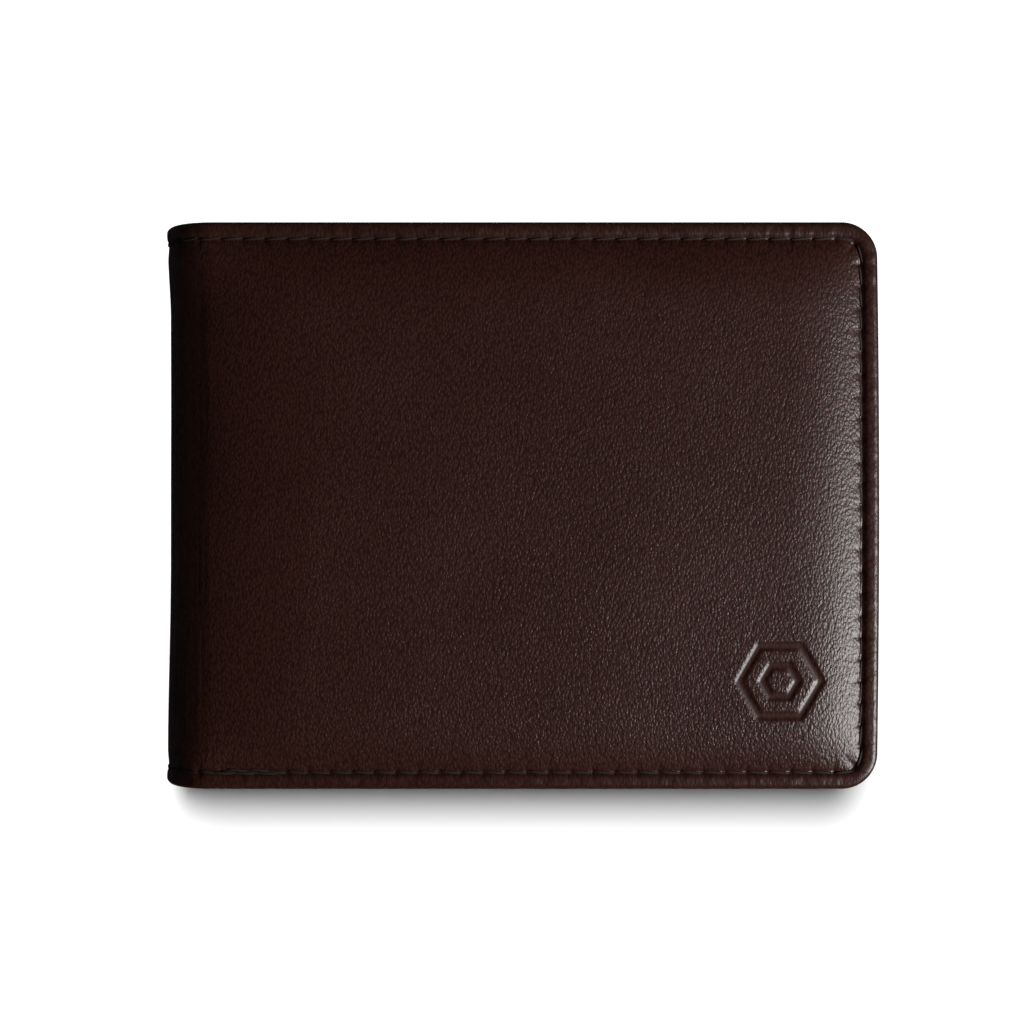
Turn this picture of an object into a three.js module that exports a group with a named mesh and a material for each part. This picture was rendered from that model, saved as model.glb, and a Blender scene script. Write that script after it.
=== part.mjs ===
// A closed bifold leather wallet, lying on its back cover. Millimetres, +Z up.
//
// X runs from the folded spine (-) to the open edge (+), Y from the sewn bottom (-) to the mouth of
// the banknote pocket (+). The origin is under the middle of the wallet, on the surface it lies on.
//
// Each half is a stack of leather and cloth sheets. Everything is drawn once, for the front half, and
// mirrored for the back half. A place in the stack is given by three numbers:
//   fold    from the spine, along the sheet: millimetres on the flat panel, and where it is negative,
//           degrees back round the spine's arc
//   y       along the spine
//   height  the distance from the middle plane between the two halves
import * as THREE from "three";

// ---- Driving dimensions ----
const WIDTH = 114;
const LENGTH = 90;
const THICKNESS = 20;
const RIM_HEIGHT = 8.55; // top of the sewn rim, and the outer radius of the spine
const CORNER_RADIUS = 5.6;
const SEAM_INSET = 2.7; // stitch line, from the wallet's edge
const SLAT_ANGLE = 45; // the spine bends at four lines, this far apart round its arc
const SLAT_GAP = 0.6; // degrees left open on each side of a bend line

// ---- Sheet thicknesses ----
const COVER = 0.8;
const TURNED_EDGE = 0.6;
const CLOTH = 0.2;
const BOARD = 0.4;
const PANEL = 0.5;
const STRIP = 0.35;
const POCKET_LEATHER = 0.55;

// ---- The stack, from the middle plane outwards ----
const PLAY = 0.1; // between sheets that touch
const CURVED_PLAY = 0.3; // between curved faces
const CARD_ROOM = 0.85;
const BILL_ROOM = 0.75;
const POCKET_AT = 0.2;
const LOWER_SLOT_AT = POCKET_AT + POCKET_LEATHER + CARD_ROOM;
const UPPER_SLOT_AT = LOWER_SLOT_AT + STRIP + CARD_ROOM;
const SLIP_PANEL_AT = UPPER_SLOT_AT + STRIP + CARD_ROOM;
const INNER_WALL_AT = SLIP_PANEL_AT + PANEL + CARD_ROOM;
const BILL_LINING_AT = INNER_WALL_AT + CLOTH + BILL_ROOM;
const TURNED_EDGE_AT = BILL_LINING_AT + CLOTH + PLAY;
const BOARD_AT = TURNED_EDGE_AT + TURNED_EDGE + PLAY;
const COVER_UNDERSIDE = BOARD_AT + BOARD + PLAY; // at the rim
const SEAM_HEIGHT = RIM_HEIGHT - 0.45; // the stitch groove's floor
const SPINE_HEIGHT = RIM_HEIGHT - 0.1; // the cover on the spine, between the rims
const CROWN_HEIGHT = THICKNESS / 2;

// ---- Plan ----
const HALF_LENGTH = LENGTH / 2;
const SPINE_X = -WIDTH / 2 + RIM_HEIGHT; // axis of the spine's arc
const PANEL_WIDTH = WIDTH - RIM_HEIGHT; // from that axis to the open edge
const TURNED_EDGE_WIDTH = 5;
const CROWN_INSET = 16; // the cover reaches its full height this far from the edge
const CROWN_FOLD = 24; // and this far from the spine
const SPINE_SLOPE = 0.3; // how steeply the spine's cover rises out of the stitch groove
const PADDING_INSET = 7; // from the wallet's edge
const PADDING_START = 14; // from the spine's axis
const BOARD_INSET = 1.6;
const BOARD_START = 4;
const LINING_INSET = 1.8;
const INNER_EDGE = 0.8; // the inner sheets stop this far inside the cover's edge
const INNER_TOP = HALF_LENGTH - 5.5; // the inner sheets stop below the cover's top edge
const HEM_WIDTH = 3.2;
const GUTTER = 3.5; // the panels start this far from the spine's axis
const POCKET_INSET = 4.2; // the card pockets' edges, from the wallet's edge
const POCKET_EDGE = 0.9; // width of the strip of gathered pocket edges
const UPPER_SLOT_TOP = 31;
const LOWER_SLOT_TOP = 19;
const POCKET_TOP = 7;

// ---- Materials ----
const material = (color, roughness) => new THREE.MeshStandardMaterial({ color, roughness, metalness: 0 });
const coverLeather = material(0x35211e, 0.48);
const innerLeather = material(0x38241f, 0.5);
const liningCloth = material(0x241a18, 0.85);
const stiffBoard = material(0x8a7256, 0.9);
const foam = material(0x4a4542, 0.95);
const thread = material(0x1b1210, 0.6);

// ---- Placing points ----
const radians = (degrees) => (degrees * Math.PI) / 180;
const lerp = (from, to, share) => from + (to - from) * share;
const ease = (share) => {
  const s = Math.min(1, Math.max(0, share));
  return s * s * (3 - 2 * s);
};

// The point at a fold coordinate, y and height, with the middle plane at z = 0.
function place(fold, y, height) {
  const turned = radians(Math.min(0, fold));
  const x = SPINE_X + Math.max(0, fold) + height * Math.sin(turned);
  return new THREE.Vector3(x, y, height * Math.cos(turned));
}

// Rounds the two corners at the open edge. A sheet's own coordinate t is its distance from the edge,
// and insetOf(t) is how far inside the edge that line of the sheet lies.
function roundCorner(fold, y, insetOf) {
  const pastFold = fold - (PANEL_WIDTH - CORNER_RADIUS);
  const pastY = Math.abs(y) - (HALF_LENGTH - CORNER_RADIUS);
  const past = Math.max(pastFold, pastY);
  const t = CORNER_RADIUS - past;
  if (past <= 0) return { fold, y, t };
  const reach = CORNER_RADIUS - insetOf(t);
  let angle = pastFold > pastY ? 0 : 90;
  if (pastFold > 0 && pastY > 0)
    angle = pastFold > pastY ? (45 * pastY) / pastFold : 90 - (45 * pastFold) / pastY;
  const side = Math.sign(y);
  return {
    fold: pastFold > 0 ? PANEL_WIDTH - CORNER_RADIUS + reach * Math.cos(radians(angle)) : fold,
    y: pastY > 0 ? side * (HALF_LENGTH - CORNER_RADIUS + reach * Math.sin(radians(angle))) : y,
    t,
  };
}

// A sheet: a box divided at the given lines, each corner of it moved by shape(column, row, outer).
function sheet(columns, rows, shape) {
  const box = new THREE.BoxGeometry(1, 1, 1, columns.length - 1, rows.length - 1, 1);
  const points = box.attributes.position;
  for (let i = 0; i < points.count; i++) {
    const column = columns[Math.round((points.getX(i) + 0.5) * (columns.length - 1))];
    const row = rows[Math.round((points.getY(i) + 0.5) * (rows.length - 1))];
    const at = shape(column, row, points.getZ(i) > 0);
    points.setXYZ(i, at.x, at.y, at.z);
  }
  box.computeVertexNormals();
  return box;
}

// ---- The cover's section, from the end of its turned edge, round the rim, to the crown ----
const BEAD = (RIM_HEIGHT - TURNED_EDGE_AT) / 2; // radius of the rolled rim
const BEAD_MIDDLE = TURNED_EDGE_AT + BEAD;
const FOLD_RADIUS = (COVER_UNDERSIDE - TURNED_EDGE_AT - TURNED_EDGE) / 2; // inside the roll
const FOLD_MIDDLE = COVER_UNDERSIDE - FOLD_RADIUS;
const QUARTER = (BEAD * Math.PI) / 2; // t at the top of the bead; minus this at its underside

// How far inside the edge a line of the cover lies. The roll is tighter on the leather's inner side.
const coverInset = (outer) => (t) => {
  const roll = outer ? BEAD : FOLD_RADIUS;
  if (t <= -QUARTER) return BEAD - (t + QUARTER);
  if (t < QUARTER) return BEAD - roll * Math.cos(t / BEAD);
  if (t < SEAM_INSET) return lerp(BEAD, SEAM_INSET, (t - QUARTER) / (SEAM_INSET - QUARTER));
  return t;
};

// Height of the cover's outer face inside the stitch line. It is level round the spine and crowned
// over the panel.
function crown(t, fold) {
  const rise = Math.min(1, (t - SEAM_INSET) / (CROWN_INSET - SEAM_INSET));
  const onPanel = lerp(SEAM_HEIGHT, CROWN_HEIGHT, Math.sin((rise * Math.PI) / 2));
  const onSpine = Math.min(SPINE_HEIGHT, SEAM_HEIGHT + (t - SEAM_INSET) * SPINE_SLOPE);
  return lerp(onSpine, onPanel, ease(fold / CROWN_FOLD));
}

function coverHeight(t, fold, outer) {
  if (t <= -QUARTER) return outer ? TURNED_EDGE_AT : TURNED_EDGE_AT + TURNED_EDGE;
  if (t < QUARTER) {
    const turn = Math.sin(t / BEAD);
    return outer ? BEAD_MIDDLE + BEAD * turn : FOLD_MIDDLE + FOLD_RADIUS * turn;
  }
  if (t < SEAM_INSET) {
    const share = (t - QUARTER) / (SEAM_INSET - QUARTER);
    return outer ? lerp(RIM_HEIGHT, SEAM_HEIGHT, share) : COVER_UNDERSIDE;
  }
  const face = crown(t, fold);
  return outer ? face : Math.max(face - COVER, COVER_UNDERSIDE);
}

// Distances from the edge at which the cover is divided.
const turnedEdgeEnd = -(TURNED_EDGE_WIDTH - BEAD + QUARTER);
const rimLines = [turnedEdgeEnd, ...[-1, -0.5, 0, 0.5, 1].map((share) => share * QUARTER)];
const faceLines = [SEAM_INSET, 4, CORNER_RADIUS, 8, 11, CROWN_INSET];
const edgeLines = [...rimLines, ...faceLines];
const coverRows = [
  ...edgeLines.map((t) => t - HALF_LENGTH),
  ...edgeLines.map((t) => HALF_LENGTH - t).reverse(),
];

function coverSheet(folds) {
  return sheet(folds, coverRows, (fold, y, outer) => {
    const at = roundCorner(fold, y, coverInset(outer));
    return place(at.fold, at.y, coverHeight(at.t, at.fold, outer));
  });
}

// Fold lines of a half: the short stretch of arc that moves with it, then the panel.
const halfArc = [-SLAT_ANGLE / 2 + SLAT_GAP, -SLAT_ANGLE / 4, 0];
const coverFolds = [
  ...halfArc,
  ...[0.25, 0.5, 0.75, 1].map((share) => share * CROWN_FOLD),
  ...edgeLines.map((t) => PANEL_WIDTH - t).reverse(),
];

// Fold lines of the spine's slat whose middle is at the given angle.
const slatFolds = (middle) =>
  [-0.5, -0.25, 0, 0.25, 0.5].map((share) => middle + share * (SLAT_ANGLE - 2 * SLAT_GAP));

// ---- Flat inner sheets that follow the fold ----
const keep = (t) => t;
const cornerLines = [0.33, 0.66, 1];
const columnsTo = (inset) => [
  ...halfArc,
  ...cornerLines.map((share) => PANEL_WIDTH - lerp(inset, CORNER_RADIUS, share)).reverse(),
  PANEL_WIDTH - inset,
];
const rowsTo = (inset, top) => [
  inset - HALF_LENGTH,
  ...cornerLines.map((share) => lerp(inset, CORNER_RADIUS, share) - HALF_LENGTH),
  ...(top < INNER_TOP + PLAY
    ? [top]
    : [
        ...cornerLines.map((share) => HALF_LENGTH - lerp(HALF_LENGTH - top, CORNER_RADIUS, share)).reverse(),
        top,
      ]),
];

function foldedSheet(folds, rows, from, thickness) {
  return sheet(folds, rows, (fold, y, outer) => {
    const at = roundCorner(fold, y, keep);
    return place(at.fold, at.y, from + (outer ? thickness : 0));
  });
}

// A plain flat piece between two folds, two y and two heights.
function slab(fold0, fold1, y0, y1, from, thickness) {
  const box = new THREE.BoxGeometry(fold1 - fold0, y1 - y0, thickness);
  return box.translate(SPINE_X + (fold0 + fold1) / 2, (y0 + y1) / 2, from + thickness / 2);
}

// The foam fills the space between the board and the crowned cover.
function paddingBlock() {
  const insets = [0, 0.5, 1].map((share) => lerp(PADDING_INSET, CROWN_INSET, share));
  const folds = [
    ...[0, 0.5, 1].map((share) => lerp(PADDING_START, CROWN_FOLD, share)),
    ...insets.map((t) => PANEL_WIDTH - t).reverse(),
  ];
  const rows = [...insets.map((t) => t - HALF_LENGTH), ...insets.map((t) => HALF_LENGTH - t).reverse()];
  return sheet(folds, rows, (fold, y, outer) => {
    const t = Math.min(PANEL_WIDTH - fold, HALF_LENGTH - Math.abs(y));
    return place(fold, y, outer ? crown(t, fold) - COVER - CURVED_PLAY : COVER_UNDERSIDE);
  });
}

// The board that stiffens a cover panel, with its corners rounded at the open edge.
function boardSheet() {
  const corner = CORNER_RADIUS - BOARD_INSET;
  const near = BOARD_START;
  const far = PANEL_WIDTH - BOARD_INSET;
  const side = HALF_LENGTH - BOARD_INSET;
  const outline = new THREE.Shape();
  outline.moveTo(near, -side);
  outline.lineTo(far - corner, -side);
  outline.absarc(far - corner, corner - side, corner, -Math.PI / 2, 0);
  outline.absarc(far - corner, side - corner, corner, 0, Math.PI / 2);
  outline.lineTo(near, side);
  outline.closePath();
  const board = new THREE.ExtrudeGeometry(outline, { depth: BOARD, bevelEnabled: false, curveSegments: 4 });
  return board.translate(SPINE_X, 0, BOARD_AT);
}

// The gathered side edges of the card pockets, stepped where each pocket's mouth is.
function pocketSideEdge(fold) {
  const floor = SLIP_PANEL_AT - PLAY;
  const bottom = POCKET_INSET - HALF_LENGTH;
  const mouths = [POCKET_TOP, LOWER_SLOT_TOP, UPPER_SLOT_TOP];
  const heights = [POCKET_AT + POCKET_LEATHER, LOWER_SLOT_AT + STRIP, UPPER_SLOT_AT + STRIP].map(
    (height) => height + PLAY,
  );
  const outline = new THREE.Shape();
  outline.moveTo(floor, bottom);
  outline.lineTo(heights[0], bottom);
  mouths.forEach((mouth, i) => {
    outline.lineTo(heights[i], mouth);
    outline.lineTo(heights[i + 1] ?? floor, mouth);
  });
  const edge = new THREE.ExtrudeGeometry(outline, { depth: POCKET_EDGE, bevelEnabled: false });
  return edge.rotateY(-Math.PI / 2).translate(SPINE_X + fold + POCKET_EDGE, 0, 0);
}

// ---- Thread, laid in the cover's stitch groove ----
const THREAD_WIDTH = 0.4;
const THREAD_FROM = SEAM_HEIGHT + 0.15;
const THREAD_DEPTH = RIM_HEIGHT - THREAD_FROM;

// Points on the wallet's outline from the top of the spine round to the bottom, each with the
// direction that leads outwards there.
function outlineStations(folds) {
  const along = (y, list) => list.map((fold) => ({ fold, y: y * HALF_LENGTH, outFold: 0, outY: y }));
  const corner = (side) =>
    [90, 75, 60, 45, 30, 15, 0].map((degrees) => {
      const outFold = Math.cos(radians(degrees));
      const outY = side * Math.sin(radians(degrees));
      return {
        fold: PANEL_WIDTH - CORNER_RADIUS + CORNER_RADIUS * outFold,
        y: side * (HALF_LENGTH - CORNER_RADIUS) + CORNER_RADIUS * outY,
        outFold,
        outY,
      };
    });
  return [...along(1, folds), ...corner(1), ...corner(-1).reverse(), ...along(-1, [...folds].reverse())];
}

function threadAlong(stations) {
  const sides = [SEAM_INSET + THREAD_WIDTH / 2, SEAM_INSET - THREAD_WIDTH / 2];
  return sheet(stations, sides, (at, inset, outer) =>
    place(
      at.fold - inset * at.outFold,
      at.y - inset * at.outY,
      THREAD_FROM + (outer ? THREAD_DEPTH : 0),
    ),
  );
}

// A straight run of thread along one edge of a spine slat: side is 1 at the top and -1 at the bottom.
function slatThread(folds, side) {
  const ordered = side > 0 ? folds : [...folds].reverse();
  return threadAlong(ordered.map((fold) => ({ fold, y: side * HALF_LENGTH, outFold: 0, outY: side })));
}

// ---- Assembly ----
function add(group, name, geometry, look) {
  const mesh = new THREE.Mesh(geometry, look);
  mesh.name = name;
  group.add(mesh);
}

// Everything that moves with one half of the wallet.
function addHalf(group, half) {
  const innerColumns = columnsTo(INNER_EDGE);
  const innerRows = rowsTo(INNER_EDGE, INNER_TOP);
  const liningRows = rowsTo(LINING_INSET, HALF_LENGTH - LINING_INSET);
  const bottom = INNER_EDGE - HALF_LENGTH;
  const far = PANEL_WIDTH - INNER_EDGE;
  const straight = PANEL_WIDTH - CORNER_RADIUS; // where the open edge's corners begin
  const sideFrom = CORNER_RADIUS - HALF_LENGTH;
  const bottomHemTop = bottom + HEM_WIDTH;
  const pocketEnd = PANEL_WIDTH - POCKET_INSET;
  const pocketStart = GUTTER + POCKET_EDGE + PLAY;
  const pocketBottom = POCKET_INSET - HALF_LENGTH;
  const wallHemAt = INNER_WALL_AT + CLOTH + PLAY;
  const wallHem = BILL_LINING_AT - PLAY - wallHemAt;
  const slipHemAt = SLIP_PANEL_AT + PANEL + PLAY;
  const slipHem = INNER_WALL_AT - PLAY - slipHemAt;

  add(group, `cover_${half}`, coverSheet(coverFolds), coverLeather);
  add(group, `board_${half}`, boardSheet(), stiffBoard);
  add(group, `padding_${half}`, paddingBlock(), foam);
  add(group, `seam_thread_${half}`, threadAlong(outlineStations(halfArc)), thread);
  const lining = foldedSheet(columnsTo(LINING_INSET), liningRows, BILL_LINING_AT, CLOTH);
  add(group, `bill_lining_${half}`, lining, liningCloth);

  add(group, `inner_wall_${half}`, foldedSheet(innerColumns, innerRows, INNER_WALL_AT, CLOTH), liningCloth);
  const wallHemSheet = foldedSheet([...halfArc, straight], [bottom, bottomHemTop], wallHemAt, wallHem);
  add(group, `wall_hem_bottom_${half}`, wallHemSheet, liningCloth);
  add(
    group,
    `wall_hem_side_${half}`,
    slab(far - HEM_WIDTH, far, sideFrom + PLAY, INNER_TOP, wallHemAt, wallHem),
    liningCloth,
  );

  const slipFolds = [GUTTER, ...innerColumns.slice(halfArc.length)];
  add(group, `slip_panel_${half}`, foldedSheet(slipFolds, innerRows, SLIP_PANEL_AT, PANEL), innerLeather);
  add(
    group,
    `slip_hem_bottom_${half}`,
    slab(GUTTER, straight, bottom, bottomHemTop, slipHemAt, slipHem),
    innerLeather,
  );
  add(
    group,
    `slip_hem_side_${half}`,
    slab(far - HEM_WIDTH, far, sideFrom + PLAY, INNER_TOP - HEM_WIDTH - PLAY, slipHemAt, slipHem),
    innerLeather,
  );
  add(
    group,
    `slip_hem_top_${half}`,
    slab(GUTTER, far, INNER_TOP - HEM_WIDTH, INNER_TOP, slipHemAt, slipHem),
    innerLeather,
  );

  const pockets = [
    ["card_slot_upper", UPPER_SLOT_TOP, UPPER_SLOT_AT, STRIP],
    ["card_slot_lower", LOWER_SLOT_TOP, LOWER_SLOT_AT, STRIP],
    ["card_pocket", POCKET_TOP, POCKET_AT, POCKET_LEATHER],
  ];
  for (const [name, top, from, thickness] of pockets) {
    const leaf = slab(pocketStart, pocketEnd - PLAY, pocketBottom, top, from, thickness);
    add(group, `${name}_${half}`, leaf, innerLeather);
  }
  add(group, `pocket_edge_side_${half}`, pocketSideEdge(pocketEnd), innerLeather);
  add(group, `pocket_edge_gutter_${half}`, pocketSideEdge(GUTTER), innerLeather);
  const edgeBottom = pocketBottom - PLAY - POCKET_EDGE;
  const edgeFrom = POCKET_AT + POCKET_LEATHER + PLAY;
  const edgeDepth = SLIP_PANEL_AT - PLAY - edgeFrom;
  add(
    group,
    `pocket_edge_bottom_${half}`,
    slab(GUTTER, pocketEnd + POCKET_EDGE, edgeBottom, edgeBottom + POCKET_EDGE, edgeFrom, edgeDepth),
    innerLeather,
  );
}

// One of the three slats that the spine bends between.
function addSlat(group, name, middle) {
  const folds = slatFolds(middle);
  const liningRows = [LINING_INSET - HALF_LENGTH, HALF_LENGTH - LINING_INSET];
  const wallHemAt = INNER_WALL_AT + CLOTH + PLAY;
  const hemRows = [INNER_EDGE - HALF_LENGTH, INNER_EDGE + HEM_WIDTH - HALF_LENGTH];
  const wallRows = [INNER_EDGE - HALF_LENGTH, INNER_TOP];
  add(group, `cover_${name}`, coverSheet(folds), coverLeather);
  add(group, `bill_lining_${name}`, foldedSheet(folds, liningRows, BILL_LINING_AT, CLOTH), liningCloth);
  add(group, `inner_wall_${name}`, foldedSheet(folds, wallRows, INNER_WALL_AT, CLOTH), liningCloth);
  const hem = foldedSheet(folds, hemRows, wallHemAt, BILL_LINING_AT - PLAY - wallHemAt);
  add(group, `wall_hem_${name}`, hem, liningCloth);
  add(group, `thread_top_${name}`, slatThread(folds, 1), thread);
  add(group, `thread_bottom_${name}`, slatThread(folds, -1), thread);
}

const wallet = new THREE.Group();
wallet.position.z = CROWN_HEIGHT;

const frontHalf = new THREE.Group();
addHalf(frontHalf, "front");
addSlat(frontHalf, "spine_front", -SLAT_ANGLE);
addSlat(frontHalf, "spine_mid", -2 * SLAT_ANGLE);
wallet.add(frontHalf);

// The back half is the front half mirrored in the middle plane.
const backHalf = new THREE.Group();
backHalf.scale.z = -1;
addHalf(backHalf, "back");
addSlat(backHalf, "spine_back", -SLAT_ANGLE);
wallet.add(backHalf);

export default wallet;
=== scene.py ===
# %% [markdown]
# A bifold wallet, one soft piece at a time.
#
# The wallet is a stack of thin sheets: a padded leather cover that is carried round the spine, a cloth
# lining, a banknote pocket, and two panels of card pockets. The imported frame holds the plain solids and
# the hinges. This lesson dresses them with real leather, thread and cloth.
# %% Load the frame
import math

import bmesh
import bpy
from mathutils import Matrix, Vector, noise
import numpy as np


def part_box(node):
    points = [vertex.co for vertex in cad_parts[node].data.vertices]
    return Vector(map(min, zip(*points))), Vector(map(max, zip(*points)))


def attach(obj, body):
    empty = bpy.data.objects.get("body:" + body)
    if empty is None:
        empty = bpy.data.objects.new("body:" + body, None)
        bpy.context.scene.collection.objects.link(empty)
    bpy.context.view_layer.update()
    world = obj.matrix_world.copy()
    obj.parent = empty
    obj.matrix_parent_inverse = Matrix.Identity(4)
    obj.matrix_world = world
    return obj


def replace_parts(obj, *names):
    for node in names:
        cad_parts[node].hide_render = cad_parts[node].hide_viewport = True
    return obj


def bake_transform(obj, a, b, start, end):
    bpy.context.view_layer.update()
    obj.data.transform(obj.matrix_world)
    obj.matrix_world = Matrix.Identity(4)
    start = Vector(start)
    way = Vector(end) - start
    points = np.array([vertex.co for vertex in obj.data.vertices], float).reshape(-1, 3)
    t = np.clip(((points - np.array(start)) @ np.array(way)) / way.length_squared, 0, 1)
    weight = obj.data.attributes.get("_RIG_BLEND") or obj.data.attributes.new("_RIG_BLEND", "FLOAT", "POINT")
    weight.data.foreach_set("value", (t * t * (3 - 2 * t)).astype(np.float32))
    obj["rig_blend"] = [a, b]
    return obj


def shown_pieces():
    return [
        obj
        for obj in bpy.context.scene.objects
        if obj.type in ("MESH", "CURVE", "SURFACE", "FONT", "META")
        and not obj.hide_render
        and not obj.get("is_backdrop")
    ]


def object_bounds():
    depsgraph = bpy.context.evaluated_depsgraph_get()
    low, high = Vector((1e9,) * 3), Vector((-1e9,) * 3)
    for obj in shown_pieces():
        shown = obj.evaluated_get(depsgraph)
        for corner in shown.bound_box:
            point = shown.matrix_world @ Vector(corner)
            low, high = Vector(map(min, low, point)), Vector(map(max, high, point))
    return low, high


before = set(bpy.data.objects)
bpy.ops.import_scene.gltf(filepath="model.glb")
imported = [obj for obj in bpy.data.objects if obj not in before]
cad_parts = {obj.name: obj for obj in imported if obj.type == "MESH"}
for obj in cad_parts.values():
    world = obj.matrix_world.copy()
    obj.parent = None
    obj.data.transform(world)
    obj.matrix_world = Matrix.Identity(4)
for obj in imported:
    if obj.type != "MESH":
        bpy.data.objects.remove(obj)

mm = 0.001
cad_low, cad_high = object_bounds()
size = cad_high - cad_low
print("closed wallet, mm:", [round(v / mm, 1) for v in size])

# %% [markdown]
# Every place in the wallet is given by three numbers: how far along the sheet from the spine, where
# along the spine, and how far out from the middle plane between the two halves. Negative distances from
# the spine are angles back round its arc. The driving sizes come from the frame's own solids.
# %% Driving sizes
middle = (cad_low.z + cad_high.z) / 2
half_length = size.y / 2
thread_width = 0.4 * mm
_, thread_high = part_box("seam_thread_front")
rim = thread_high.z - middle
seam_in = cad_high.y - thread_high.y + thread_width / 2
spine_x = cad_low.x + rim
panel = cad_high.x - spine_x
crown = size.z / 2
corner = 5.6 * mm
slat = math.radians(45)
print("spine radius", round(rim / mm, 2), "seam inset", round(seam_in / mm, 2))


def ease(share):
    s = min(1.0, max(0.0, share))
    return s * s * (3 - 2 * s)


def bell(x, width):
    return math.exp(-((x / width) ** 2))


def place(fold, y, height, side):
    """The point at a fold coordinate, y and height. side is 1 in the front half and -1 in the back."""
    turn = min(0.0, fold)
    x = spine_x + max(0.0, fold) + height * math.sin(turn)
    return Vector((x, y, middle + side * height * math.cos(turn)))


def out_of(solid):
    """The plan and the heights of a solid of the front half: fold, y and distance from the middle plane."""
    low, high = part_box(solid)
    return (low.x - spine_x, high.x - spine_x), (low.y, high.y), (low.z - middle, high.z - middle)


# %% [markdown]
# The seam runs from the middle of the spine, along an edge, round a corner, to the middle of the open
# edge. Stitches are equal, so the run is divided into a whole number of them, and the same run is used
# at the top and the bottom, on the front and on the back.
# %% The seam's run
seam_height = 8.0 * mm
straight_end = panel - corner
turn_radius = corner - seam_in
arc_run = seam_height * math.pi / 2
corner_run = turn_radius * math.pi / 2
seam_run = arc_run + straight_end + corner_run + half_length - corner
stitch_count = round(seam_run / (3.5 * mm))
pitch = seam_run / stitch_count
print("stitches per run", stitch_count, "pitch, mm", round(pitch / mm, 3))


def run_at(fold, y):
    """How far along the seam's run the nearest point of the seam is."""
    if fold < 0:
        return arc_run + fold * seam_height
    past_x = fold - straight_end
    past_y = abs(y) - (half_length - corner)
    if past_x <= 0 and past_x <= past_y:
        return arc_run + fold
    if past_y <= 0:
        return seam_run - abs(y)
    turned = math.atan2(max(0.0, past_x), past_y)
    return arc_run + straight_end + turn_radius * turned


def seam_point(run, edge, inset=seam_in):
    """fold, y and the outward direction on the seam's run. edge is 1 at the top and -1 at the bottom."""
    along = run - arc_run
    turned = (along - straight_end) / turn_radius
    radius = corner - inset
    if along < 0:
        return along / seam_height, edge * (half_length - inset), Vector((0, edge))
    if turned < 0:
        return along, edge * (half_length - inset), Vector((0, edge))
    if along < straight_end + corner_run:
        out = Vector((math.sin(turned), edge * math.cos(turned)))
        return straight_end + radius * out.x, edge * (half_length - corner) + radius * out.y, out
    return panel - inset, edge * (seam_run - run), Vector((1, 0))


# %% [markdown]
# The cover's section: the leather comes out from under the lining, rolls round the edge, dips into the
# stitch groove and swells over the padding. Drawn once as inset and height against a distance t from
# the edge, it makes the whole cover. A loft along a path could do it too, but the corners, the spine and
# the groove then need separate pieces.
# %% The cover's section
hem_under = 6.6 * mm
hem_upper = 7.2 * mm
underside = 7.8 * mm
leather = 0.8 * mm
roll = (rim - hem_under) / 2
inner_roll = (underside - hem_upper) / 2
quarter = roll * math.pi / 2
hem_end = -(4 * mm + quarter)
groove_floor = 8.08 * mm
spine_face = rim - 0.1 * mm
spine_groove_rise = 0.2 * mm
crown_inset = 16 * mm
crown_fold = 21 * mm
flesh_gap = 0.25 * mm


def roll_inset(t, radius, bead):
    """Inset from the edge at t, for a sheet rolled round a bead, at its own radius."""
    turn = bead * math.pi / 2
    if t <= -turn:
        return bead - (t + turn)
    if t < turn:
        return bead - radius * math.cos(t / bead)
    if t < seam_in:
        return bead + (seam_in - bead) * (t - turn) / (seam_in - turn)
    return t


def swell(t):
    """How full the padding is at t from an edge, from 0 at the seam to 1."""
    share = min(1.0, max(0.0, (t - seam_in) / (crown_inset - seam_in)))
    return 1 - (1 - share) ** 2.9


def seam_floor(fold):
    """The stitch groove's floor. The leather is stretched round the spine, so the groove is shallow there."""
    return groove_floor + spine_groove_rise * ease(-fold / math.radians(40))


def spine_sag(y):
    """The spine's leather is drawn in between its two rims, more steeply at the top."""
    top = ease((half_length - 3 * mm - y) / (12 * mm))
    bottom = ease((half_length - 3 * mm + y) / (34 * mm))
    return 0.5 * mm * top * bottom


def face_height(fold, y):
    """The cover's outer face inside the seam, without its stitches."""
    from_side = half_length - abs(y)
    padded = groove_floor + (crown - groove_floor) * swell(panel - fold) * swell(from_side)
    lift = ease((from_side - seam_in) / (3 * mm))
    along = fold * seam_height if fold < 0 else fold
    drawn_in = spine_sag(y) * (1 + 1.1 * bell(along + 3 * mm, 4 * mm))
    low = seam_floor(fold) + (spine_face - seam_floor(fold)) * lift - drawn_in
    past = along + 2 * mm
    share = min(1.0, (past + math.hypot(past, 2 * mm)) / 2 / crown_fold)
    return low + (padded - low) * (1 - (1 - share) ** 2.2)


def pucker(t, run, edge):
    """What the stitches do to the leather: a groove with a dip at each hole, and creases on the rim."""
    phase = math.cos(2 * math.pi * run / pitch)
    wander = 0.07 * mm * noise.noise(Vector((run / (4 * mm), edge * 5.0, 2.0)))
    groove = -0.17 * mm * (1 + 0.3 * phase) * bell(t - seam_in - wander, 0.36 * mm)
    hole = max(0.0, phase) ** 5
    dip = -0.17 * mm * hole * bell(t - seam_in - 0.4 * mm, 0.75 * mm)
    drawn = 0.5 + 0.6 * noise.noise(Vector((run / (9 * mm), edge * 7.0, 1.0)))
    crease = noise.noise(Vector((run / (1.1 * mm), edge * 3.0, t / (3 * mm))))
    on_rim = bell(t - 0.62 * seam_in, 0.95 * mm)
    beside = bell(t - seam_in - 1.6 * mm, 1.2 * mm)
    return groove + dip + mm * drawn * crease * (0.20 * on_rim + 0.04 * beside)


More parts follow.
